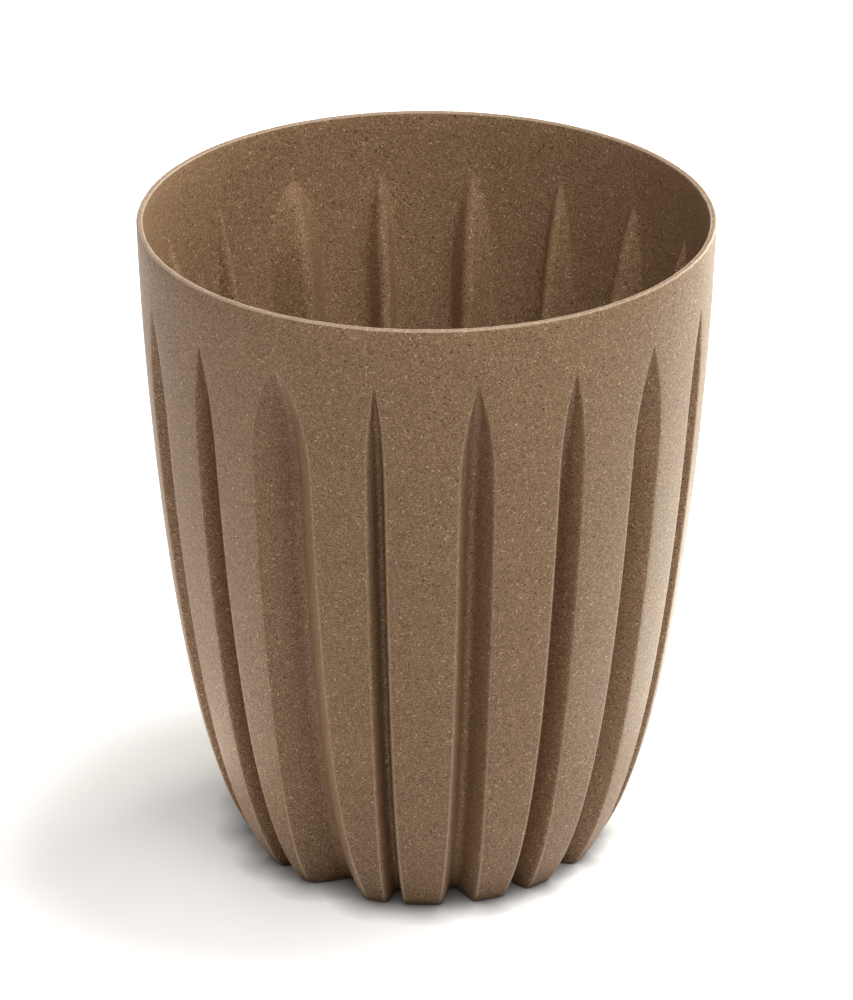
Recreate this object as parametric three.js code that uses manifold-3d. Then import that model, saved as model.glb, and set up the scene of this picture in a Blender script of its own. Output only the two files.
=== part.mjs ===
// Plastic plant pot: a fluted pot moulded in one piece, a drainage grid that stands on its
// floor, and a bung that closes its drain hole. Both loose pieces lift out through the mouth.
// Millimetres, +Z up. The origin is on the ground under the middle of the pot, and the front
// faces -Y. Angles run from the front towards +X.

import * as THREE from 'three';
import { mergeVertices } from 'three/addons/utils/BufferGeometryUtils.js';
import Module from 'manifold-3d';

// Pot body
const rimRadius = 120;
const potHeight = 286;
const footRadius = 76.3;
const wallThickness = 2.7;
const rimEdgeRounding = 0.9;
const sideFullness = 5.2; // a larger number keeps the side upright for longer
const sideTurn = 1.46; // a larger number turns in later, close to the foot

// Floor, raised so that water runs out between the feet
const floorUnderside = 12;
const floorThickness = 3;
const floorFillet = 3;
const drainHoleRadius = 10;

// Flutes: one pattern of six, repeated round the pot
const patternRepeats = 3;
const fluteTopBelowRim = 25;
const fluteTipLength = 46; // from the point of a flute down to its full width
const fluteRunIn = 120; // from the point of a flute down to its full depth
const landCornerRadius = 1.3;
const landCornerLimit = 0.4; // of the straight side that the corner rounds
const rootRadiusLimit = 0.75; // of half the flute's width, where it is narrow
const tipHalfWidth = 0.8;
const slitFlute = { width: 7, depth: 10.8, rootRadius: 1.8 };
const narrowFlute = { width: 11, depth: 12, rootRadius: 2.6 };
const closeFlute = { width: 11.8, depth: 12, rootRadius: 2.8 };
const middleFlute = { width: 13.8, depth: 12.9, rootRadius: 3 };
const wideFlute = { width: 17, depth: 12.9, rootRadius: 3.4 };
const broadFlute = { width: 27, depth: 12.9, rootRadius: 3.8 };
const flutePattern = [middleFlute, narrowFlute, wideFlute, closeFlute, broadFlute, slitFlute];

// Drainage grid
const gridThickness = 2.5;
const gridSideClearance = 3;
const gridLegHeight = 16;
const gridLegRadius = 4.5;
const gridLegCount = 6;
const gridLegSink = 1.25; // into the plate that it is moulded with
const fingerHoleRadius = 23;
const slotCount = 24;
const slotWidth = 3.6;
const slotInset = 5; // solid ring round the finger hole, and inside the legs

// Drain bung
const bungFlangeOverlap = 5;
const bungFlangeThickness = 2.5;
const bungStemReach = 3; // below the underside of the floor
const bungStemClearance = 0.3;
const bungStemChamfer = 1.2;
const bungNeckRadius = 4;
const bungNeckHeight = 5.5;
const bungKnobRadius = 6.5;
const bungKnobThickness = 3.2;
const bungEdgeRounding = 0.8;

// The loose pieces rest this far above the floor that carries them.
const seatClearance = 0.3;

// How finely the round shapes are drawn
const landSteps = 4;
const tipRows = 3;
const sideRows = 6;
const sideRowCrowding = 1.3; // a larger number brings the levels closer together at the foot
const circleSteps = 32;
const legSteps = 16;
const slotEndSteps = 4;
const slopeStep = 0.5;

const fullTurn = 2 * Math.PI;
const floorTop = floorUnderside + floorThickness;
const fluteTop = potHeight - fluteTopBelowRim;
const fluteCount = flutePattern.length * patternRepeats;
const flutePitch = fullTurn / fluteCount;
const deepestFlute = Math.max(...flutePattern.map((flute) => flute.depth));

// Outer radius of the pot between its flutes: a superellipse in section, upright at the rim
// and rounding in to the foot.
const curveReach = potHeight / (1 - (footRadius / rimRadius) ** sideFullness) ** (1 / sideTurn);

function wallRadius(height) {
  const drop = (potHeight - height) / curveReach;
  return rimRadius * (1 - drop ** sideTurn) ** (1 / sideFullness);
}

// The wall keeps its thickness square to its slope, so it is wider on the level lower down.
function wallAcross(height) {
  const low = Math.max(height - slopeStep, 0);
  const high = Math.min(height + slopeStep, potHeight);
  const slope = (wallRadius(high) - wallRadius(low)) / (high - low);
  return wallThickness * Math.hypot(1, slope);
}

// Half of a flute in plan, from its root to the land beside it, as points [sideways, radial].
// The root is an arc, the side is straight and tangent to it, and the corner is rounded.
// A wall of zero gives the outer face, and a real one gives the inner face behind it.
function fluteHalf(flute, height, wall) {
  const belowTip = fluteTop - height;
  if (belowTip <= 0) {
    return [0, 1, 2, 3].map((part) => [(tipHalfWidth * part) / 3, -wall]);
  }
  const outerHalf = Math.max((flute.width / 2) * easeOut(belowTip / fluteTipLength), tipHalfWidth);
  const depth = flute.depth * easeOut(belowTip / fluteRunIn);
  const outerRoot = Math.min(flute.rootRadius, outerHalf * rootRadiusLimit);
  const centre = outerRoot - depth;

  const outerSide = tangentSide(outerHalf, 0, centre, outerRoot);
  const spread = (wall * (1 - Math.sin(outerSide.lean))) / Math.cos(outerSide.lean);
  const root = outerRoot + wall;
  const corner = [outerHalf + spread, -wall];
  const side = tangentSide(corner[0], corner[1], centre, root);

  const turn = Math.PI / 2 - side.lean;
  const setback = Math.min(landCornerRadius * Math.tan(turn / 2), side.length * landCornerLimit);
  const alongX = Math.sin(side.lean) * setback;
  const alongY = Math.cos(side.lean) * setback;
  return [
    [0, centre - root],
    side.touch,
    [corner[0] - alongX, corner[1] - alongY],
    [corner[0] + setback, corner[1]],
  ];
}

// Rises from 0 to 1, fast at first, and stays at 1.
function easeOut(share) {
  return 1 - (1 - Math.min(share, 1)) ** 2;
}

// The straight side of a flute runs from the corner at (x, y) to where it touches the root arc.
// Its lean is measured from the radial direction.
function tangentSide(x, y, centre, radius) {
  const reach = Math.hypot(x, y - centre);
  const angle = Math.atan2(y - centre, x) - Math.acos(Math.min(radius / reach, 1));
  const touch = [radius * Math.cos(angle), centre + radius * Math.sin(angle)];
  const lean = Math.atan2(x - touch[0], y - touch[1]);
  return { touch, lean, length: Math.hypot(x - touch[0], y - touch[1]) };
}

// One level of the pot wall, all the way round. Each flute gives its two halves, and the land
// after it is shared out evenly in angle, so that a point always stands mid-land.
function wallRing(height, wall) {
  const radius = wallRadius(height);
  const halves = flutePattern.map((flute) => fluteHalf(flute, height, wall));
  const ring = [];
  for (let index = 0; index < fluteCount; index += 1) {
    const azimuth = (index + 0.5) * flutePitch;
    const half = halves[index % halves.length];
    const nextHalf = halves[(index + 1) % halves.length];
    const left = half.slice(1).reverse().map(([across, inwards]) => [-across, inwards]);
    for (const [across, inwards] of [...left, ...half]) {
      ring.push(polar(radius + inwards, azimuth + across / radius, height));
    }
    const landStart = azimuth + half.at(-1)[0] / radius;
    const landMiddle = azimuth + flutePitch / 2;
    const landEnd = azimuth + flutePitch - nextHalf.at(-1)[0] / radius;
    for (let step = 1; step < landSteps; step += 1) {
      const share = (2 * step) / landSteps;
      const angle =
        share <= 1
          ? landStart + (landMiddle - landStart) * share
          : landMiddle + (landEnd - landMiddle) * (share - 1);
      ring.push(polar(radius - wall, angle, height));
    }
  }
  return ring;
}

function polar(radius, azimuth, height) {
  return new THREE.Vector3(radius * Math.sin(azimuth), -radius * Math.cos(azimuth), height);
}

// The same ring drawn in by a distance towards the axis, at another height.
function drawnIn(ring, distance, height) {
  return ring.map((point) => {
    const radius = Math.hypot(point.x, point.y);
    const share = (radius - distance) / radius;
    return new THREE.Vector3(point.x * share, point.y * share, height);
  });
}

// Heights of the wall's levels, closer together at the flute points and near the foot.
function wallHeights() {
  const heights = [];
  for (let row = 0; row <= tipRows; row += 1) {
    heights.push(fluteTop - fluteTipLength * (row / tipRows) ** 2);
  }
  const fullWidthHeight = heights.at(-1);
  for (let row = 1; row <= sideRows; row += 1) {
    heights.push(fullWidthHeight * (1 - row / sideRows) ** sideRowCrowding);
  }
  return heights;
}

// The pot is one skin that runs up its inside, over the rim, down its outside and under the
// foot to the underside of the floor. Two flat faces with the drain hole close it.
function potShell() {
  const heights = wallHeights();
  const rimLow = potHeight - rimEdgeRounding;
  const filletTop = floorTop + floorFillet;
  const insideLevels = heights.filter((height) => height > filletTop + floorFillet).reverse();
  const cornerRing = wallRing(filletTop, wallAcross(filletTop));
  const rings = [
    drawnIn(cornerRing, floorFillet, floorTop),
    cornerRing,
    ...insideLevels.map((height) => wallRing(height, wallAcross(height))),
    wallRing(rimLow, wallAcross(rimLow)),
    drawnIn(wallRing(potHeight, 0), wallThickness - rimEdgeRounding, potHeight),
    drawnIn(wallRing(potHeight, 0), rimEdgeRounding, potHeight),
    wallRing(rimLow, 0),
    ...heights.map((height) => wallRing(height, 0)),
    wallRing(0, wallAcross(0)),
    wallRing(floorUnderside, wallAcross(floorUnderside)),
  ];
  const topHole = circle(drainHoleRadius, floorTop, azimuthOf(rings[0][0]));
  const lowHole = circle(drainHoleRadius, floorUnderside, azimuthOf(rings[0][0]));

  const triangles = [];
  for (let level = 1; level < rings.length; level += 1) {
    joinRings(triangles, rings[level - 1], rings[level]);
  }
  joinRings(triangles, lowHole, topHole);
  fillFloor(triangles, rings[0], topHole, true);
  fillFloor(triangles, rings.at(-1), lowHole, false);
  return geometryFrom(triangles);
}

function circle(radius, height, startAzimuth) {
  const points = [];
  for (let step = 0; step < circleSteps; step += 1) {
    points.push(polar(radius, startAzimuth + (fullTurn * step) / circleSteps, height));
  }
  return points;
}

function joinRings(triangles, first, second) {
  for (let index = 0; index < first.length; index += 1) {
    const next = (index + 1) % first.length;
    triangles.push(first[index], second[next], first[next]);
    triangles.push(first[index], second[index], second[next]);
  }
}

// Fills the flat floor between its outline and the drain hole, which start at one azimuth.
// It goes round both together, and always takes the step that lags behind.
function fillFloor(triangles, outline, hole, facesUp) {
  let atOutline = 0;
  let atHole = 0;
  while (atOutline < outline.length || atHole < hole.length) {
    const outlineTurn = turnFrom(outline[0], outline[atOutline + 1]);
    const holeTurn = turnFrom(outline[0], hole[atHole + 1]);
    const near = outline[atOutline % outline.length];
    const far = hole[atHole % hole.length];
    let third;
    if (atHole === hole.length || (atOutline < outline.length && outlineTurn <= holeTurn)) {
      atOutline += 1;
      third = outline[atOutline % outline.length];
    } else {
      atHole += 1;
      third = hole[atHole % hole.length];
    }
    triangles.push(...(facesUp ? [near, third, far] : [near, far, third]));
  }
}

// How far round a point lies from the start of its ring. Past the last point it is a full turn.
function turnFrom(start, point) {
  if (!point) {
    return fullTurn;
  }
  return (azimuthOf(point) - azimuthOf(start) + fullTurn) % fullTurn;
}

function azimuthOf(point) {
  return Math.atan2(point.x, -point.y);
}

function geometryFrom(points) {
  const geometry = new THREE.BufferGeometry().setFromPoints(points);
  geometry.computeVertexNormals();
  return geometry;
}

// Space for a loose piece at one height inside the pot: clear of the deepest flute.
function clearRadius(height) {
  return wallRadius(height) - deepestFlute - wallAcross(height);
}

// The drainage grid is a slotted plate on six short legs, with a hole for two fingers.
const gridUnderside = floorTop + seatClearance + gridLegHeight;

function drainageGrid() {
  const plateRadius = clearRadius(gridUnderside) - gridSideClearance;
  const legCircle = clearRadius(floorTop + floorFillet) - floorFillet - gridSideClearance - gridLegRadius;
  const slotStart = fingerHoleRadius + slotInset;
  const slotEnd = legCircle - gridLegRadius - slotInset;

  const outline = new THREE.Shape().absarc(0, 0, plateRadius, 0, fullTurn, false);
  outline.holes.push(new THREE.Path().absarc(0, 0, fingerHoleRadius, 0, fullTurn, true));
  for (let slot = 0; slot < slotCount; slot += 1) {
    outline.holes.push(radialSlot((fullTurn * slot) / slotCount, slotStart, slotEnd));
  }
  const plate = new THREE.ExtrudeGeometry(outline, {
    depth: gridThickness,
    bevelEnabled: false,
    curveSegments: circleSteps,
  });
  plate.translate(0, 0, gridUnderside);

  const pieces = [plate];
  const legLength = gridLegHeight + gridLegSink;
  for (let leg = 0; leg < gridLegCount; leg += 1) {
    const azimuth = (fullTurn * leg) / gridLegCount;
    const post = new THREE.CylinderGeometry(gridLegRadius, gridLegRadius, legLength, legSteps);
    post.rotateX(Math.PI / 2);
    const middle = gridUnderside - gridLegHeight + legLength / 2;
    const foot = polar(legCircle, azimuth, middle);
    post.translate(foot.x, foot.y, foot.z);
    pieces.push(post);
  }
  return union(pieces);
}

function radialSlot(azimuth, start, end) {
  const half = slotWidth / 2;
  const points = [];
  for (let step = 0; step <= slotEndSteps; step += 1) {
    const angle = (Math.PI * step) / slotEndSteps;
    points.push([end - half + half * Math.sin(angle), half * Math.cos(angle)]);
  }
  for (let step = 0; step <= slotEndSteps; step += 1) {
    const angle = Math.PI + (Math.PI * step) / slotEndSteps;
    points.push([start + half + half * Math.sin(angle), half * Math.cos(angle)]);
  }
  const cos = Math.cos(azimuth);
  const sin = Math.sin(azimuth);
  return new THREE.Path(points.map(([x, y]) => new THREE.Vector2(x * cos - y * sin, x * sin + y * cos)));
}

// The bung is one rubber turning: a tapered stem in the drain hole, a flange on the floor and
// a knob to pull it by.
function drainBung() {
  const flangeLow = floorTop + seatClearance;
  const flangeHigh = flangeLow + bungFlangeThickness;
  const knobLow = flangeHigh + bungNeckHeight;
  const knobHigh = knobLow + bungKnobThickness;
  const stemLow = floorUnderside - bungStemReach;
  const stemRadius = drainHoleRadius - bungStemClearance;
  const flangeRadius = drainHoleRadius + bungFlangeOverlap;
  const edge = bungEdgeRounding;
  const profile = [
    [0, stemLow],
    [stemRadius - bungStemChamfer, stemLow],
    [stemRadius, stemLow + bungStemChamfer],
    [stemRadius, flangeLow],
    [flangeRadius - edge / 2, flangeLow],
    [flangeRadius, flangeLow + edge / 2],
    [flangeRadius, flangeHigh - edge],
    [flangeRadius - edge, flangeHigh],
    [bungNeckRadius + edge, flangeHigh],
    [bungNeckRadius, flangeHigh + edge],
    [bungNeckRadius, knobLow - edge],
    [bungKnobRadius, knobLow],
    [bungKnobRadius, knobHigh - edge],
    [bungKnobRadius - edge, knobHigh],
    [0, knobHigh],
  ];
  const turning = new THREE.LatheGeometry(
    profile.map(([radius, height]) => new THREE.Vector2(radius, height)),
    circleSteps,
  );
  turning.rotateX(Math.PI / 2);
  return turning;
}

// Solids are joined as watertight bodies, so every part of a piece is merged into one skin.
const wasm = await Module();
wasm.setup();

function toManifold(geometry) {
  const bare = geometry.clone();
  bare.deleteAttribute('normal');
  bare.deleteAttribute('uv');
  const merged = mergeVertices(bare, 1e-4);
  return new wasm.Manifold(
    new wasm.Mesh({
      numProp: 3,
      vertProperties: new Float32Array(merged.attributes.position.array),
      triVerts: new Uint32Array(merged.index.array),
    }),
  );
}

function union(pieces) {
  const whole = pieces.map(toManifold).reduce((sum, piece) => sum.add(piece));
  const mesh = whole.getMesh();
  const geometry = new THREE.BufferGeometry();
  geometry.setAttribute('position', new THREE.BufferAttribute(mesh.vertProperties, 3));
  geometry.setIndex(new THREE.BufferAttribute(mesh.triVerts, 1));
  geometry.computeVertexNormals();
  return geometry;
}

const woodFibrePlastic = new THREE.MeshStandardMaterial({ color: 0x86705a, roughness: 0.75, metalness: 0 });
const darkPlastic = new THREE.MeshStandardMaterial({ color: 0x3b3128, roughness: 0.6, metalness: 0 });
const blackRubber = new THREE.MeshStandardMaterial({ color: 0x232120, roughness: 0.85, metalness: 0 });

const pot = new THREE.Group();

function addPiece(name, geometry, material) {
  const mesh = new THREE.Mesh(geometry, material);
  mesh.name = name;
  pot.add(mesh);
}

addPiece('pot_shell', potShell(), woodFibrePlastic);
addPiece('drainage_grid', drainageGrid(), darkPlastic);
addPiece('drain_bung', drainBung(), blackRubber);

export default pot;
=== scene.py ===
import math

import bmesh
import bpy
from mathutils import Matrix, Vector


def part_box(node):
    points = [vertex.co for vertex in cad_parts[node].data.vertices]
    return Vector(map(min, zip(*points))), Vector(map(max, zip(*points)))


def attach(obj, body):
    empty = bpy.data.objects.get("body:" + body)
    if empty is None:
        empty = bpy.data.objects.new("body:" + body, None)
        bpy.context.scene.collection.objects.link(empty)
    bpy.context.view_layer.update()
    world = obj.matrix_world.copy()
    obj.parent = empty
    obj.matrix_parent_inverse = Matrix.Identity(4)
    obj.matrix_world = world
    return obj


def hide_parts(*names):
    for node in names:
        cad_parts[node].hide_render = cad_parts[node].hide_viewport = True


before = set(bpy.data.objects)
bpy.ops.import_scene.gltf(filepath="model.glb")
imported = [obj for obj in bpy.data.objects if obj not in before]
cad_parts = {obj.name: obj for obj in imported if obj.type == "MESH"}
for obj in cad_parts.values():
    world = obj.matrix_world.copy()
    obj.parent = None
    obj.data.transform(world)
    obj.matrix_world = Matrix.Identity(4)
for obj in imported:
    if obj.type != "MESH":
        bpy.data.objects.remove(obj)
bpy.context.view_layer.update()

# Camera. A long lens looks down at the pot from about 26 degrees, as in the photograph.
shell_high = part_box("pot_shell")[1]
rim_radius = shell_high.x
pot_height = shell_high.z

camera_distance = 16.42 * rim_radius
camera_elevation = math.radians(25.87)
aim_below_rim = 1.094 * rim_radius
camera_sensor = 36
camera_lens = 166.48
view_limit = 20

aim_height = pot_height - aim_below_rim
camera_back = camera_distance * math.cos(camera_elevation)
camera_up = camera_distance * math.sin(camera_elevation)
bpy.ops.object.camera_add(
    location=(0, -camera_back, aim_height + camera_up),
    rotation=(math.radians(90) - camera_elevation, 0, 0),
)
camera = bpy.context.object
camera.name = "camera"
camera.data.sensor_width = camera_sensor
camera.data.lens = camera_lens
camera.data.clip_end = view_limit
bpy.context.scene.camera = camera

# Pot shell. The real one is a single injection moulding in plastic filled with wood fibre, about
# 2.7 mm thick: a wall that rounds in to its foot, pressed in to 18 flutes of six widths, with a
# plain round rim and a raised floor with a drain hole. The fibres show as light and dark flecks.
foot_radius = 0.0763
wall_thickness = 0.0027
rim_rounding = 0.0009
foot_rounding = 0.0007

# The wall's outline is a rounded curve. The first exponent sets how full it stays towards the foot,
# and the second how soon it turns in below the rim.
side_fullness = 5.2
side_turn = 1.46

floor_underside = 0.012
floor_top = 0.015
floor_fillet = 0.003
drain_radius = 0.010
drain_rounding = 0.0005

# A flute's width and depth are those of its lower end, where it is fully open. It narrows to a
# point at its tip, and deepens over its run-in. Its corners are rounder towards the foot.
pattern_repeats = 3
flute_top_below_rim = 0.025
flute_tip_length = 0.046
tip_half_width = 0.0008
least_depth = 0.00002
land_corner_radius = 0.0016
corner_run_out = 0.070
flute_patterns = [
    {"width": 0.0138, "depth": 0.0129, "root": 0.0030, "foot_corner": 0.0024, "tip": 1, "run_in": 0.080},
    {"width": 0.0110, "depth": 0.0120, "root": 0.0026, "foot_corner": 0.0024, "tip": 1, "run_in": 0.080},
    {"width": 0.0170, "depth": 0.0129, "root": 0.0034, "foot_corner": 0.0024, "tip": 1, "run_in": 0.080},
    {"width": 0.0118, "depth": 0.0120, "root": 0.0028, "foot_corner": 0.0024, "tip": 1, "run_in": 0.080},
    {"width": 0.0270, "depth": 0.0129, "root": 0.0045, "foot_corner": 0.0062, "tip": 0.7, "run_in": 0.052},
    {"width": 0.0070, "depth": 0.0108, "root": 0.0018, "foot_corner": 0.0020, "tip": 1, "run_in": 0.080},
]

# Inside, each flute stands up as a ridge. The spread and rounding are shares of the wall's width. At
# 1 they would keep a flute's sides as thick as the rest of the wall, and lower they make them thinner.
inner_corner_radius = 0.0032
ridge_spread = 0.4
ridge_rounding = 0.25
ridge_thinning = 0.0005

# A root arc takes at most this share of half a flute, and a corner this share of the side or the land
# beside it.
root_limit = 0.75
corner_limit = 0.45

# Painted highlights, from 0 to 1, that lighten the corners in place of the light they catch: beside
# the flutes at the foot, beside them from the reach upwards, and on the edges of the rim and the foot.
foot_highlight = 0.44
tip_highlight = 0.14
highlight_reach = 0.100
edge_highlight = 0.3

# How finely the surfaces are divided.
root_steps = 4
side_steps = 3
corner_steps = 4
land_steps = 5
rim_rows = (0.3, 0.6, 0.85, 0.96)
tip_rows = 16
tip_crowding = 1.7
side_rows = 26
foot_crowding = 1.25
floor_rows = (0.02, 0.3, 0.6, 0.85)
lowest_inner_row = floor_top + floor_fillet * 1.2
quarter = [math.radians(angle) for angle in (0, 22.5, 45, 67.5, 90)]
weld_distance = 1e-6

flute_top = pot_height - flute_top_below_rim
flute_count = len(flute_patterns) * pattern_repeats
flute_pitch = 2 * math.pi / flute_count
half_steps = root_steps + side_steps + corner_steps
column_count = (2 * half_steps + land_steps) * flute_count
curve_reach = pot_height / (1 - (foot_radius / rim_radius) ** side_fullness) ** (1 / side_turn)


def wall_radius(height):
    """Outer radius between the flutes: upright at the rim, rounding in to the foot."""
    drop = max(pot_height - height, 0) / curve_reach
    return rim_radius * (1 - drop ** side_turn) ** (1 / side_fullness)


def wall_across(height):
    """The wall keeps its thickness square to its slope, so it is wider on the level lower down."""
    step = 0.0005
    low = max(height - step, 0)
    high = min(height + step, pot_height)
    slope = (wall_radius(high) - wall_radius(low)) / (high - low)
    return wall_thickness * math.hypot(1, slope)


def ease_out(share):
    """Rises from 0 to 1, fast at first, and stays at 1."""
    return 1 - (1 - min(share, 1)) ** 2


def between(first, second, share):
    """The value that lies a share of the way from the first to the second."""
    return first + (second - first) * share


def tangent_side(across, inwards, centre, radius):
    """The straight side of a flute, from a point on the land to where it touches the root arc.
    Gives that touching point, the side's lean and length, and the arc's angle there."""
    reach = math.hypot(across, inwards - centre)
    angle = math.atan2(inwards - centre, across) - math.acos(min(radius / reach, 1))
    touch = Vector((radius * math.cos(angle), centre + radius * math.sin(angle)))
    side = Vector((across, inwards)) - touch
    return touch, math.atan2(side.x, side.y), side.length, angle


def opening_half(flute, height):
    """Half the width of a flute at one height: a point at its tip, opening out below."""
    below_tip = max(flute_top - height, 0)
    opened = ease_out(below_tip / flute_tip_length) ** flute["tip"]
    return max(flute["width"] / 2 * opened, tip_half_width)


def flute_half(flute, height, skin, land_middle):
    """Half of a flute in plan, from its root to the land, as (sideways, radial) points. A skin of 0
    is the outer face, and the wall's full width is the inner face behind it, where the flute
    stands up as a ridge. The wall is thinner there than between the flutes, and it is thinnest in
    the steep sides, at about 1 mm."""
    below_tip = flute_top - height
    if below_tip <= 0:
        return [Vector((tip_half_width * step / half_steps, -skin)) for step in range(half_steps + 1)]
    inside = min(skin / wall_thickness, 1)

    # The root arc, with the side that touches it
    outer_half = opening_half(flute, height)
    full_depth = flute["depth"] * ease_out(below_tip / flute["run_in"])
    depth = max(full_depth - ridge_thinning * inside, least_depth)
    outer_root = min(flute["root"], outer_half * root_limit)
    outer_lean = tangent_side(outer_half, 0, outer_root - depth, outer_root)[1]
    spread = ridge_spread * skin * (1 - math.sin(outer_lean)) / math.cos(outer_lean)
    corner = Vector((outer_half + spread, -skin))
    root = min(outer_root + skin * ridge_rounding, corner.x * root_limit)
    centre = root - depth - skin
    touch, lean, length, root_end = tangent_side(corner.x, corner.y, centre, root)
    points = []
    for step in range(root_steps + 1):
        angle = between(-math.pi / 2, root_end, step / root_steps)
        points.append(Vector((root * math.cos(angle), centre + root * math.sin(angle))))

    # The side, up to where the rounded corner begins
    corner_turn = math.pi / 2 - lean
    outer_corner = between(flute["foot_corner"], land_corner_radius, min(height / corner_run_out, 1))
    wished_radius = between(outer_corner, inner_corner_radius, inside)
    land_width = 2 * (land_middle - corner.x)
    setback = min(
        wished_radius * math.tan(corner_turn / 2), length * corner_limit, land_width * corner_limit
    )
    corner_radius = setback / math.tan(corner_turn / 2)
    along_side = Vector((math.sin(lean), math.cos(lean)))
    square = Vector((math.cos(lean), -math.sin(lean)))
    corner_start = corner - along_side * setback
    for step in range(1, side_steps + 1):
        points.append(touch.lerp(corner_start, step / side_steps))

    # The rounded corner, up to the land
    for step in range(1, corner_steps + 1):
        swept = corner_turn * step / corner_steps
        forward = corner_radius * math.sin(swept)
        aside = corner_radius * (1 - math.cos(swept))
        points.append(corner_start + along_side * forward + square * aside)
    return points


def polar(radius, azimuth, height):
    """Azimuth runs from the front, which faces -Y, towards +X."""
    return Vector((radius * math.sin(azimuth), -radius * math.cos(azimuth), height))


def wall_ring(height, skin):
    """One level of the wall, all the way round, always with the same number of points."""
    radius = wall_radius(height)
    openings = [opening_half(flute, height) for flute in flute_patterns]
    halves = []
    for place, flute in enumerate(flute_patterns):
        beside = max(openings[place - 1], openings[(place + 1) % len(openings)])
        land_middle = (radius * flute_pitch + openings[place] - beside) / 2
        halves.append(flute_half(flute, height, skin, land_middle))
    ring = []
    for index in range(flute_count):
        azimuth = (index + 0.5) * flute_pitch
        half = halves[index % len(halves)]
        next_half = halves[(index + 1) % len(halves)]
        for point in reversed(half[1:]):
            ring.append(polar(radius + point.y, azimuth - point.x / radius, height))
        for point in half:
            ring.append(polar(radius + point.y, azimuth + point.x / radius, height))
        land_start = azimuth + half[-1].x / radius
        land_end = azimuth + flute_pitch - next_half[-1].x / radius
        for step in range(1, land_steps):
            share = (1 - math.cos(math.pi * step / land_steps)) / 2
            ring.append(polar(radius - skin, between(land_start, land_end, share), height))
    return ring


def drawn_in(ring, distance, height):
    """The same ring drawn in towards the axis, at another height."""
    drawn = []
    for point in ring:
        radius = point.xy.length
        share = (radius - distance) / radius
        drawn.append(Vector((point.x * share, point.y * share, height)))
    return drawn


def round_ring(radius, height, count):
    return [polar(radius, 2 * math.pi * (index + 0.5) / count, height) for index in range(count)]


def rings_between(first, second, shares):
    return [[a.lerp(b, share) for a, b in zip(first, second)] for share in shares]


def rounded(rounding, angle):
    """How far a rounded edge has gone forward, and how far aside, after turning by an angle."""
    return rounding * math.sin(angle), rounding * (1 - math.cos(angle))


def wall_heights():
    """Levels of the wall below the rim, closer together at the flute points and near the foot."""
    heights = [between(pot_height - rim_rounding, flute_top, share) for share in rim_rows]
    for row in range(tip_rows + 1):
        heights.append(flute_top - flute_tip_length * (row / tip_rows) ** tip_crowding)
    low_end = heights[-1]
    for row in range(1, side_rows):
        heights.append(foot_rounding + (low_end - foot_rounding) * (1 - row / side_rows) ** foot_crowding)
    return heights


plain = [0] * column_count


def highlighted_wall(height):
    """How strongly each point of an outer level is lightened by a painted highlight. Only the corners
    beside the lands are, and those close to the foot the most."""
    if height >= flute_top:
        return plain
    amount = between(foot_highlight, tip_highlight, min(height / highlight_reach, 1))
    half = [0] * (half_steps - 1) + [amount, 0]
    return (half[:0:-1] + half + [0] * (land_steps - 1)) * flute_count


def highlighted_edge(angle):
    """A rounded edge gets its strongest painted highlight half way round its turn."""
    return [edge_highlight * math.sin(2 * angle)] * column_count


# The pot's skin runs from the drain hole over the floor, up the inside, over the rim, down the
# outside, round the foot and along the underside, back to the drain hole.
shell_rings = []
# The strength of each level's painted highlights is kept beside it.
shell_highlights = []


def add_level(ring, highlights=plain):
    shell_rings.append(ring)
    shell_highlights.append(highlights)


fillet_base = wall_ring(floor_top + floor_fillet, wall_across(floor_top + floor_fillet))
floor_edge = drawn_in(fillet_base, floor_fillet, floor_top)
underside_edge = wall_ring(floor_underside, wall_across(floor_underside))
hole_top = round_ring(drain_radius + drain_rounding, floor_top, column_count)
hole_low = round_ring(drain_radius + drain_rounding, floor_underside, column_count)

add_level(round_ring(drain_radius, floor_underside + drain_rounding, column_count))
add_level(round_ring(drain_radius, floor_top - drain_rounding, column_count))
add_level(hole_top)
for ring in rings_between(hole_top, floor_edge, floor_rows):
    add_level(ring)
for angle in quarter[:-1]:
    outwards, rise = rounded(floor_fillet, angle)
    add_level(drawn_in(fillet_base, floor_fillet - outwards, floor_top + rise))
add_level(fillet_base)
for height in reversed(wall_heights()):
    if height > lowest_inner_row:
        add_level(wall_ring(height, wall_across(height)))

rim_start = pot_height - rim_rounding
rim_wall = wall_across(pot_height)
for angle in quarter:
    rise, inset = rounded(rim_rounding, angle)
    add_level(wall_ring(rim_start + rise, rim_wall - inset), highlighted_edge(angle))
for angle in reversed(quarter):
    rise, inset = rounded(rim_rounding, angle)
    add_level(wall_ring(rim_start + rise, inset), highlighted_edge(angle))

for height in wall_heights():
    add_level(wall_ring(height, 0), highlighted_wall(height))

foot_wall = wall_across(0)
for angle in quarter:
    drop, inset = rounded(foot_rounding, angle)
    add_level(wall_ring(foot_rounding - drop, inset), highlighted_edge(angle))
for angle in reversed(quarter):
    drop, inset = rounded(foot_rounding, angle)
    add_level(wall_ring(foot_rounding - drop, foot_wall - inset))
add_level(wall_ring(floor_underside / 2, wall_across(floor_underside / 2)))
add_level(underside_edge)
for ring in rings_between(underside_edge, hole_low, [1 - share for share in reversed(floor_rows)]):
    add_level(ring)
add_level(hole_low)
add_level(shell_rings[0])


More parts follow.
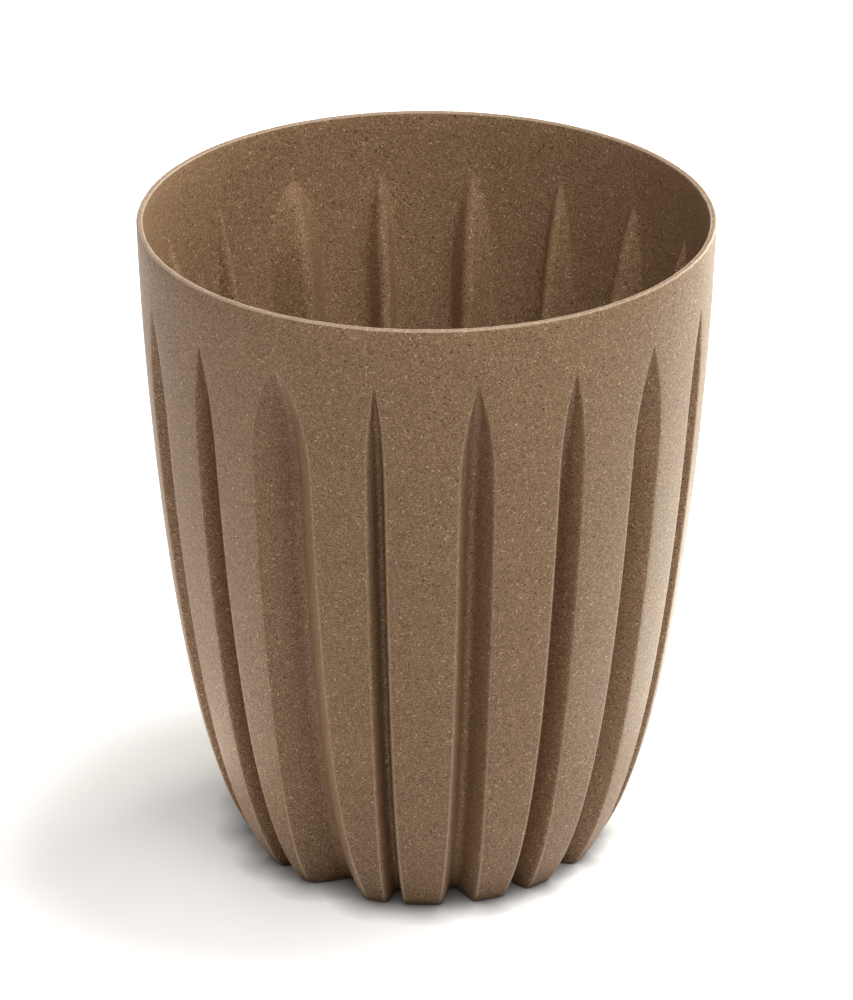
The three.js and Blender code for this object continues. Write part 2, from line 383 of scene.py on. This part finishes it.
def extruded_rings(name, rings, highlights=None):
    """A circle is added on the first ring and extruded from level to level, and at each level its
    points are set on that level's ring. Each point also keeps the strength of its painted highlight,
    where that is given. The last ring is left selected."""
    bpy.ops.object.select_all(action="DESELECT")
    bpy.ops.mesh.primitive_circle_add(vertices=len(rings[0]), radius=rings[0][0].xy.length)
    piece = bpy.context.object
    piece.name = name
    bpy.ops.object.mode_set(mode="EDIT")
    bpy.ops.mesh.select_mode(type="VERT")
    bpy.ops.mesh.select_all(action="SELECT")
    shape = bmesh.from_edit_mesh(piece.data)
    if highlights:
        shape.verts.layers.float.new("rubbed")
    column = shape.verts.layers.int.new("column")
    shape.verts.ensure_lookup_table()
    for index, point in enumerate(shape.verts):
        point[column] = index
        point.co = rings[0][index]
    for level, ring in enumerate(rings[1:], start=1):
        bpy.ops.mesh.extrude_region_move()
        shape = bmesh.from_edit_mesh(piece.data)
        column = shape.verts.layers.int["column"]
        for point in shape.verts:
            if point.select:
                point.co = ring[point[column]]
        if highlights:
            rubbed = shape.verts.layers.float["rubbed"]
            for point in shape.verts:
                if point.select:
                    point[rubbed] = highlights[level][point[column]]
    shape.verts.layers.int.remove(column)
    bmesh.update_edit_mesh(piece.data)
    return piece


def finish_mesh(piece):
    """Seams are merged, faces are turned outwards, and the piece is shaded smooth."""
    bpy.ops.mesh.select_all(action="SELECT")
    bpy.ops.mesh.remove_doubles(threshold=weld_distance)
    bpy.ops.mesh.normals_make_consistent(inside=False)
    bpy.ops.object.mode_set(mode="OBJECT")
    bpy.ops.object.shade_smooth()


pot = extruded_rings("moulded_pot", shell_rings, shell_highlights)
finish_mesh(pot)


def linear(hex_code):
    """An sRGB hex colour as linear red, green, blue and alpha."""
    parts = [int(hex_code[place:place + 2], 16) / 255 for place in (1, 3, 5)]
    lit = [part / 12.92 if part <= 0.04045 else ((part + 0.055) / 1.055) ** 2.4 for part in parts]
    return (*lit, 1)


def add_node(tree, kind, sockets=None, **settings):
    """Adds a node. Each socket takes a value, or a (node, output) pair to link from."""
    node = tree.nodes.new(kind)
    for name, value in settings.items():
        setattr(node, name, value)
    for socket, value in (sockets or {}).items():
        if isinstance(value, tuple) and isinstance(value[0], bpy.types.Node):
            tree.links.new(value[0].outputs[value[1]], node.inputs[socket])
        else:
            node.inputs[socket].default_value = value
    return node


def number_node(tree, operation, *values):
    """Maths on numbers, each a value or a (node, output) pair."""
    return add_node(tree, "ShaderNodeMath", dict(enumerate(values)), operation=operation)


def vector_node(tree, operation, *values):
    """Maths on vectors, each a value or a (node, output) pair."""
    return add_node(tree, "ShaderNodeVectorMath", dict(enumerate(values)), operation=operation)


def ramp(tree, value, low, high, first=0, last=1, **settings):
    """A value that runs from low to high, drawn out to run from first to last and kept to them."""
    sockets = {"Value": value, "From Min": low, "From Max": high, "To Min": first, "To Max": last}
    return add_node(tree, "ShaderNodeMapRange", sockets, **settings)


def mixed(tree, share, first, second):
    """The (node, output) pair of two colours mixed by a share."""
    sockets = {"Factor": share, "A": first, "B": second}
    return add_node(tree, "ShaderNodeMix", sockets, data_type="RGBA"), "Result"


def noise(tree, place, spacing, detail, **more):
    sockets = {"Vector": (place, "Object"), "Scale": 1 / spacing, "Detail": detail, **more}
    return add_node(tree, "ShaderNodeTexNoise", sockets)


def flecks(tree, place, spacing, size, share, offset):
    """Flecks scattered through the plastic and lying in its skin. Spacing is the distance between
    them, size is their length, width and depth, and share is how many of them show, some only
    faintly. A fleck fades out over its edge."""
    edge_outside, edge_inside = 1.15, 0.75
    strongest = share * 0.6
    normal = (place, "Normal")
    moved = vector_node(tree, "ADD", (place, "Object"), (offset, offset, offset))
    cells = add_node(tree, "ShaderNodeTexVoronoi", {"Vector": (moved, 0), "Scale": 1 / spacing})
    away = vector_node(tree, "SUBTRACT", (moved, 0), (cells, "Position"))
    lean = vector_node(tree, "SUBTRACT", (cells, "Color"), (0.5, 0.5, 0.5))
    beside = vector_node(tree, "CROSS_PRODUCT", (lean, 0), normal)
    width_way = vector_node(tree, "NORMALIZE", (beside, 0))
    length_way = vector_node(tree, "CROSS_PRODUCT", normal, (width_way, 0))
    along = vector_node(tree, "DOT_PRODUCT", (away, 0), (length_way, 0))
    across = vector_node(tree, "DOT_PRODUCT", (away, 0), (width_way, 0))
    deep = vector_node(tree, "DOT_PRODUCT", (away, 0), normal)
    inside = add_node(
        tree, "ShaderNodeCombineXYZ", {"X": (along, "Value"), "Y": (across, "Value"), "Z": (deep, "Value")}
    )
    scaled = vector_node(tree, "MULTIPLY", (inside, 0), tuple(2 / part for part in size))
    reach = vector_node(tree, "LENGTH", (scaled, 0))
    shape = ramp(tree, (reach, "Value"), edge_outside, edge_inside)
    draw = add_node(tree, "ShaderNodeTexWhiteNoise", {"Vector": (cells, "Position")})
    strength = ramp(tree, (draw, "Value"), share, strongest)
    return number_node(tree, "MULTIPLY", (shape, 0), (strength, 0))


def new_material(name):
    """A material, its nodes, its shader, and the object's own coordinates to place patterns by."""
    material = bpy.data.materials.new(name)
    material.use_nodes = True
    tree = material.node_tree
    return material, tree, tree.nodes["Principled BSDF"], add_node(tree, "ShaderNodeTexCoord")


def grained(tree, shader, place, spacing, strength):
    """The fine grain that a mould leaves, up to 0.1 mm deep."""
    grain_depth = 0.0001
    grain = noise(tree, place, spacing, 2)
    bump = add_node(
        tree, "ShaderNodeBump", {"Height": (grain, "Fac"), "Strength": strength, "Distance": grain_depth}
    )
    tree.links.new(bump.outputs["Normal"], shader.inputs["Normal"])


def wood_fibre_plastic():
    """Polypropylene filled with wood fibre, injection moulded: a mid brown skin with a dull sheen,
    in which single fibres show as pale needles and grains of bark as dark specks. The flecks are
    drawn about a half larger than the real 0.2 to 0.3 mm, so that they show in the render."""
    material, tree, shader, place = new_material("wood_fibre_plastic_moulded")
    cloud_spacing = 0.012
    dust_spacing = 0.0004
    grain_spacing = 0.0008

    cloud = noise(tree, place, cloud_spacing, 2)
    colour = mixed(tree, (cloud, "Fac"), linear("#806248"), linear("#8b6d50"))

    # Wood dust, of which three grains in ten are darker and three in ten are lighter
    dust = add_node(
        tree, "ShaderNodeTexVoronoi", {"Vector": (place, "Object"), "Scale": 1 / dust_spacing}
    )
    draw = add_node(tree, "ShaderNodeTexWhiteNoise", {"Vector": (dust, "Position")})
    dark_share = ramp(tree, (draw, "Value"), 0.3, 0, last=0.65)
    light_share = ramp(tree, (draw, "Value"), 0.7, 1, last=0.5)
    colour = mixed(tree, (dark_share, 0), colour, linear("#3a2a1c"))
    colour = mixed(tree, (light_share, 0), colour, linear("#c4a88a"))

    # Fibres and bark, small ones first
    layers = [
        ("#be9f7c", 0.0012, (0.0012, 0.00030, 0.0005), 0.7, 0.31, 0.9),
        ("#3d2a19", 0.0011, (0.0007, 0.00042, 0.0006), 0.6, 0.17, 0.95),
        ("#dfc6a4", 0.0024, (0.0015, 0.00038, 0.0007), 0.6, 0.73, 0.9),
        ("#2a190d", 0.0027, (0.0010, 0.0007, 0.0008), 0.5, 0.53, 0.95),
    ]
    for tint, spacing, size, share, offset, cover in layers:
        mask = flecks(tree, place, spacing, size, share, offset)
        faded = number_node(tree, "MULTIPLY", (mask, 0), cover)
        colour = mixed(tree, (faded, 0), colour, linear(tint))

    # Painted highlights: where the attribute says, the colour is lightened to a pale cream.
    rubbed = add_node(tree, "ShaderNodeAttribute", attribute_name="rubbed")
    node, output = mixed(tree, (rubbed, "Fac"), colour, linear("#d6c6b0"))
    tree.links.new(node.outputs[output], shader.inputs["Base Color"])
    grained(tree, shader, place, grain_spacing, 0.15)
    shader.inputs["Roughness"].default_value = 0.45
    shader.inputs["IOR"].default_value = 1.45
    shader.inputs["Specular IOR Level"].default_value = 0.24
    return material


pot.data.materials.append(wood_fibre_plastic())
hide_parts("pot_shell")
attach(pot, "pot")

# Drainage grid. The real one is a thin plate moulded in dark recycled plastic, with slots that let
# water through, a raised lip round its finger hole, and six short legs that stand on the floor.
grid_low, grid_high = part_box("drainage_grid")
plate_radius = grid_high.x
plate_top = grid_high.z
plate_thickness = 0.0025
plate_rounding = 0.0004
finger_radius = 0.023
lip_width = 0.0024
lip_rise = 0.0009
slot_count = 24
slot_half = 0.0018
slot_inset = 0.005
leg_count = 6
leg_circle = 0.0597
leg_radius = 0.0045
leg_foot_radius = 0.0041
leg_sink = 0.0012
leg_sides = 32

slot_start = finger_radius + slot_inset
slot_end = leg_circle - leg_radius - slot_inset
slot_pitch = 2 * math.pi / slot_count
slot_turns = [math.radians(angle) for angle in (0, 30, 60, 90)]

# A bar has two points, at these shares of the way from slot to slot. A face lies in a slot where its
# middle is within this share of the slot's half width, and it lies on a level or on the axis where it
# is this close. Edges that turn by more than the bevel angle, in radians, are rounded.
bar_edges = (0.38, 0.62)
slot_middle = 0.3
face_tolerance = 0.0001
bevel_angle = 0.9
smooth_below = math.radians(40)


def plate_rows():
    """Radii of the plate's rows, each with how wide a slot is there. A slot's ends are round."""
    rows = [(finger_radius, slot_half), (finger_radius + lip_width, slot_half)]
    for turn in slot_turns:
        rows.append((slot_start + slot_half * (1 - math.cos(turn)), slot_half * math.sin(turn)))
    rows.append(((slot_start + slot_end) / 2, slot_half))
    for turn in reversed(slot_turns):
        rows.append((slot_end - slot_half * (1 - math.cos(turn)), slot_half * math.sin(turn)))
    rows.append((leg_circle - leg_radius, slot_half))
    rows.append((leg_circle + leg_radius, slot_half))
    rows.append((plate_radius, slot_half))
    return rows


def plate_ring(radius, half):
    """One row of the plate: two points on each slot's sides, and two on the bar after it."""
    edge = math.asin(half / radius)
    turns = [-edge, edge] + [slot_pitch * share for share in bar_edges]
    ring = []
    for slot in range(slot_count):
        for turn in turns:
            ring.append(polar(radius, slot * slot_pitch + turn, plate_top))
    return ring


grid = extruded_rings("slotted_grid", [plate_ring(radius, half) for radius, half in plate_rows()])
bpy.ops.mesh.select_mode(type="FACE")


def select_faces(piece, chosen):
    """Selects the faces whose middle, as a radius, azimuth and height, is chosen."""
    bpy.ops.mesh.select_all(action="DESELECT")
    shape = bmesh.from_edit_mesh(piece.data)
    for face in shape.faces:
        middle = face.calc_center_median()
        face.select_set(chosen(middle.xy.length, math.atan2(middle.x, -middle.y), middle.z))
    bmesh.update_edit_mesh(piece.data)


def in_a_slot(radius, azimuth, height):
    off_centre = (azimuth / slot_pitch + 0.5) % 1 - 0.5
    across = abs(off_centre * slot_pitch * radius)
    return slot_start < radius < slot_end and across < slot_half * slot_middle


def on_the_lip(radius, azimuth, height):
    return radius < finger_radius + lip_width


select_faces(grid, in_a_slot)
bpy.ops.mesh.delete(type="FACE")
select_faces(grid, on_the_lip)
bpy.ops.mesh.extrude_region_move(TRANSFORM_OT_translate={"value": (0, 0, lip_rise)})
bpy.ops.mesh.select_all(action="SELECT")
bpy.ops.mesh.remove_doubles(threshold=weld_distance)
bpy.ops.object.mode_set(mode="OBJECT")


def apply_modifier(piece, kind, **settings):
    """Adds a modifier with its settings and applies it."""
    modifier = piece.modifiers.new(kind.lower(), kind)
    for name, value in settings.items():
        setattr(modifier, name, value)
    bpy.context.view_layer.objects.active = piece
    bpy.ops.object.modifier_apply(modifier=modifier.name)


apply_modifier(grid, "SOLIDIFY", thickness=plate_thickness, offset=-1)

leg_bottom = grid_low.z
leg_length = plate_top - plate_thickness + leg_sink - leg_bottom
bpy.ops.object.select_all(action="DESELECT")
bpy.ops.mesh.primitive_cylinder_add(
    vertices=leg_sides,
    radius=leg_radius,
    depth=leg_length,
    location=(0, -leg_circle, leg_bottom + leg_length / 2),
)
legs = bpy.context.object
bpy.ops.object.transform_apply(location=True, rotation=True, scale=True)
bpy.ops.object.mode_set(mode="EDIT")
bpy.ops.mesh.select_mode(type="FACE")
select_faces(legs, lambda radius, azimuth, height: height < leg_bottom + face_tolerance)
taper = leg_foot_radius / leg_radius
bpy.ops.transform.resize(value=(taper, taper, 1))
bpy.ops.mesh.bevel(offset=plate_rounding, segments=3)
bpy.ops.mesh.select_all(action="SELECT")
bpy.ops.mesh.spin(
    steps=leg_count - 1,
    dupli=True,
    angle=2 * math.pi * (leg_count - 1) / leg_count,
    center=(0, 0, 0),
    axis=(0, 0, 1),
)
bpy.ops.mesh.select_all(action="SELECT")
bpy.ops.mesh.normals_make_consistent(inside=False)
bpy.ops.object.mode_set(mode="OBJECT")

apply_modifier(
    grid, "BEVEL", width=plate_rounding, segments=2, limit_method="ANGLE", angle_limit=bevel_angle
)
apply_modifier(grid, "BOOLEAN", operation="UNION", object=legs, solver="EXACT")
bpy.data.objects.remove(legs)
bpy.ops.object.select_all(action="DESELECT")
grid.select_set(True)
bpy.ops.object.shade_smooth_by_angle(angle=smooth_below)


def dark_moulded_plastic():
    """Recycled polypropylene, injection moulded and nearly black-brown. Regrind gives it a faint
    cloudiness and small paler specks, and the mould's spark-eroded grain keeps it dull."""
    material, tree, shader, place = new_material("recycled_polypropylene_moulded")
    cloud_spacing = 0.009
    speck_spacing = 0.002
    speck_size = (0.0007, 0.0005, 0.0007)
    grain_spacing = 0.0005

    cloud = noise(tree, place, cloud_spacing, 3)
    cloud_share = ramp(tree, (cloud, "Fac"), 0.3, 0.7)
    tone = mixed(tree, (cloud_share, 0), linear("#352b23"), linear("#43382d"))
    specks = flecks(tree, place, speck_spacing, speck_size, 0.5, 0.41)
    faded = number_node(tree, "MULTIPLY", (specks, 0), 0.5)
    node, output = mixed(tree, (faded, 0), tone, linear("#6a5b4a"))
    tree.links.new(node.outputs[output], shader.inputs["Base Color"])
    grained(tree, shader, place, grain_spacing, 0.3)
    shader.inputs["Roughness"].default_value = 0.48
    shader.inputs["IOR"].default_value = 1.49
    return material


grid.data.materials.clear()
grid.data.materials.append(dark_moulded_plastic())
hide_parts("drainage_grid")
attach(grid, "grid")

# Drain bung. The real one is a single moulding in black rubber, pushed in to the drain hole by
# hand: a stem with two sealing rings, a flange that lies on the floor, and a knob to pull it by.
bung_low, bung_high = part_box("drain_bung")
bung_bottom = bung_low.z
knob_top = bung_high.z
flange_radius = bung_high.x
flange_clearance = 0.0003
flange_thickness = 0.0025
flange_low_rounding = 0.0004
flange_high_rounding = 0.0009
flange_flat_inset = 0.002
flange_crown = 0.0001
stem_radius = 0.0092
stem_rounding = 0.0012
stem_dish = [(0.0012, 0.0004), (0.005, 0.0002)]
seal_radius = 0.0097
seal_places = (0.0008, 0.0021)
seal_sink = 0.0001
seat_fillet = (0.0003, 0.0002)
neck_radius = 0.004
neck_fillet = 0.0014
neck_flare = 0.0008
knob_radius = 0.0065
knob_height = 0.0032
knob_low_rounding = 0.0008
knob_high_rounding = 0.0011
knob_dish = [(0.0036, 0.0001), (0.0028, 0.0005), (0.001, 0.0008)]
bung_steps = 64

flange_low = floor_top + flange_clearance
flange_high = flange_low + flange_thickness
neck_low = flange_high + flange_crown
knob_low = knob_top - knob_height


def arc(centre_radius, centre_height, radius, first_degrees, last_degrees, steps=4):
    """Part of a rounded edge as (radius, height) points. 0 degrees points out, 90 points up."""
    points = []
    for step in range(steps + 1):
        angle = math.radians(between(first_degrees, last_degrees, step / steps))
        points.append((centre_radius + radius * math.cos(angle), centre_height + radius * math.sin(angle)))
    return points


def convex_edge(outer_radius, height, rounding, first_degrees, last_degrees):
    """The rounded edge of a disc, whose arc has its middle at a height."""
    return arc(outer_radius - rounding, height, rounding, first_degrees, last_degrees)


bung_profile = [(radius, bung_bottom + depth) for radius, depth in stem_dish]
bung_profile += convex_edge(stem_radius, bung_bottom + stem_rounding, stem_rounding, -90, 0)
for place in seal_places:
    bung_profile += convex_edge(
        seal_radius, floor_underside + place, seal_radius - stem_radius + seal_sink, -80, 80
    )
bung_profile += [(stem_radius, flange_low - seat_fillet[1]), (stem_radius + seat_fillet[0], flange_low)]
bung_profile += convex_edge(flange_radius, flange_low + flange_low_rounding, flange_low_rounding, -90, 0)
bung_profile += convex_edge(flange_radius, flange_high - flange_high_rounding, flange_high_rounding, 0, 90)
bung_profile += [(flange_radius - flange_flat_inset, flange_high)]
bung_profile += [(neck_radius + neck_fillet + neck_flare, neck_low)]
bung_profile += arc(neck_radius + neck_fillet, neck_low + neck_fillet, neck_fillet, -90, -180)
bung_profile += arc(neck_radius + neck_flare, knob_low - neck_flare, neck_flare, 180, 110)
bung_profile += convex_edge(knob_radius, knob_low + knob_low_rounding, knob_low_rounding, -75, 0)
bung_profile += convex_edge(knob_radius, knob_top - knob_high_rounding, knob_high_rounding, 0, 90)
bung_profile += [(radius, knob_top - depth) for radius, depth in knob_dish]

bung = extruded_rings("rubber_bung", [round_ring(r, z, bung_steps) for r, z in bung_profile])
bpy.ops.mesh.select_mode(type="EDGE")
bpy.ops.mesh.select_all(action="DESELECT")
bpy.ops.mesh.select_non_manifold()
bpy.ops.mesh.fill_holes(sides=0)
bpy.ops.mesh.select_mode(type="FACE")
select_faces(bung, lambda radius, azimuth, height: radius < face_tolerance)
bpy.ops.mesh.poke()
finish_mesh(bung)


def moulded_rubber():
    """Black rubber, moulded in a textured tool. It is matt, and where hands and water have been it
    has a faint grey bloom."""
    material, tree, shader, place = new_material("natural_rubber_moulded")
    bloom_spacing = 0.004
    grain_spacing = 0.0004

    bloom = noise(tree, place, bloom_spacing, 4, Roughness=0.65)
    bloom_share = ramp(tree, (bloom, "Fac"), 0.42, 0.75)
    node, output = mixed(tree, (bloom_share, 0), linear("#1f1e1d"), linear("#3a3836"))
    tree.links.new(node.outputs[output], shader.inputs["Base Color"])
    grained(tree, shader, place, grain_spacing, 0.25)
    shader.inputs["Roughness"].default_value = 0.75
    shader.inputs["IOR"].default_value = 1.52
    return material


bung.data.materials.append(moulded_rubber())
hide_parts("drain_bung")
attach(bung, "bung")

# Floor. A plain white studio table runs on under the pot and out of the view. It glows a little, so
# that it shows white. A painted shadow of the pot lowers the glow round a middle that lies to the left
# front by the shade offset, and close to the pot's foot a painted contact shade darkens it.
table_size = 12
contact_reach = 0.015
contact_darkening = 1.2
shade_offset = (0.07, 0.02, 0)
shade_edge = (0.085, 0.168)
shade_glow, open_glow = 0.27, 0.8


def in_sight(tree):
    """1 for a ray that sees a surface straight, in a reflection or through glass, and otherwise 0."""
    sight = add_node(tree, "ShaderNodeLightPath")
    seen = number_node(tree, "MAXIMUM", (sight, "Is Camera Ray"), (sight, "Is Glossy Ray"))
    return number_node(tree, "MAXIMUM", (seen, 0), (sight, "Is Transmission Ray"))


bpy.ops.object.select_all(action="DESELECT")
bpy.ops.mesh.primitive_plane_add(size=table_size)
table = bpy.context.object
table.name = "table"
white, tree, shader, place = new_material("white_table")
shader.inputs["Roughness"].default_value = 0.9
shader.inputs["Specular IOR Level"].default_value = 0
# Painted contact shade: close to the pot the table's colour is mixed towards dark brown.
contact = add_node(tree, "ShaderNodeAmbientOcclusion", {"Distance": contact_reach}, samples=8)
openness = number_node(tree, "POWER", (contact, "AO"), contact_darkening)
node, output = mixed(tree, (openness, 0), linear("#3a2a1e"), linear("#dcd9d6"))
tree.links.new(node.outputs[output], shader.inputs["Base Color"])
# Painted shadow: the glow is lower within the shade's reach of a fixed middle.
from_shade = vector_node(tree, "ADD", (place, "Object"), shade_offset)
reach = vector_node(tree, "LENGTH", (from_shade, 0))
clear = ramp(
    tree, (reach, "Value"), *shade_edge, shade_glow, open_glow, interpolation_type="SMOOTHSTEP"
)
glow_share = number_node(tree, "MULTIPLY", (clear, 0), (openness, 0))
seen_glow = number_node(tree, "MULTIPLY", (in_sight(tree), 0), (glow_share, 0))
glow = add_node(tree, "ShaderNodeEmission", {"Color": (1, 1, 1, 1), "Strength": (seen_glow, 0)})
total = add_node(tree, "ShaderNodeAddShader", {0: (shader, 0), 1: (glow, 0)})
tree.links.new(total.outputs[0], tree.nodes["Material Output"].inputs["Surface"])
table.data.materials.append(white)

# Studio light. A large soft box hangs over the right front, a smaller one over the front and a faint
# one over the left. Low strips at the right rear, the back and the left light the sides, and a lit
# card on the table at each side lights the lower wall. The room fills the rest evenly and faintly.
aim = Vector((0, 0, pot_height / 2))
card_height = 0.002
fill_level = 0.02


def area_lamp(name, place, turned, width, height, power, tint):
    """A rectangular lamp with sizes in metres and its power in watts."""
    bpy.ops.object.light_add(type="AREA", location=place, rotation=turned)
    lamp = bpy.context.object
    lamp.name = name
    lamp.data.shape = "RECTANGLE"
    lamp.data.size = width
    lamp.data.size_y = height
    lamp.data.energy = power
    lamp.data.color = linear(tint)[:3]
    lamp.visible_camera = False


def soft_box(name, azimuth, elevation, distance, size, power, tint="#ffffff"):
    """A lamp that faces the middle of the pot, placed by its direction in degrees from there."""
    rise = math.radians(elevation)
    spot = polar(distance * math.cos(rise), math.radians(azimuth), aim.z + distance * math.sin(rise))
    turned = (aim - spot).to_track_quat("-Z", "Y").to_euler()
    area_lamp(name, spot, turned, *size, power, tint)


def table_card(name, across, back, size, power, tint):
    """A lit white card that lies on the table beside the pot and shines up on its lower sides."""
    area_lamp(name, (across, back, card_height), (math.pi, 0, 0), *size, power, tint)


soft_box("overhead_box", azimuth=60, elevation=58, distance=1.3, size=(1.1, 0.8), power=14)
soft_box("front_box", azimuth=0, elevation=62, distance=1.3, size=(0.6, 0.6), power=8.2)
soft_box("right_strip", azimuth=132, elevation=18, distance=1.2, size=(0.5, 0.8), power=18, tint="#fbfdf4")
soft_box("back_strip", azimuth=190, elevation=12, distance=1.2, size=(0.5, 0.5), power=4)
soft_box("left_box", azimuth=-30, elevation=58, distance=1.3, size=(0.6, 0.6), power=0.6)
soft_box("left_strip", azimuth=-80, elevation=12, distance=1.2, size=(0.3, 0.5), power=1.8, tint="#fffaf4")
table_card("right_card", across=0.30, back=0.08, size=(0.30, 0.42), power=0.8, tint="#f6fff4")
table_card("left_card", across=-0.30, back=-0.06, size=(0.36, 0.20), power=0.45, tint="#fff4e6")

room = bpy.data.worlds.new("room")
bpy.context.scene.world = room
room.use_nodes = True
tree = room.node_tree
backdrop = tree.nodes["Background"]
backdrop.inputs["Color"].default_value = (1, 1, 1, 1)
level = ramp(tree, (in_sight(tree), 0), 0, 1, fill_level, 1)
tree.links.new(level.outputs[0], backdrop.inputs["Strength"])

bpy.context.scene.view_settings.view_transform = "Standard"
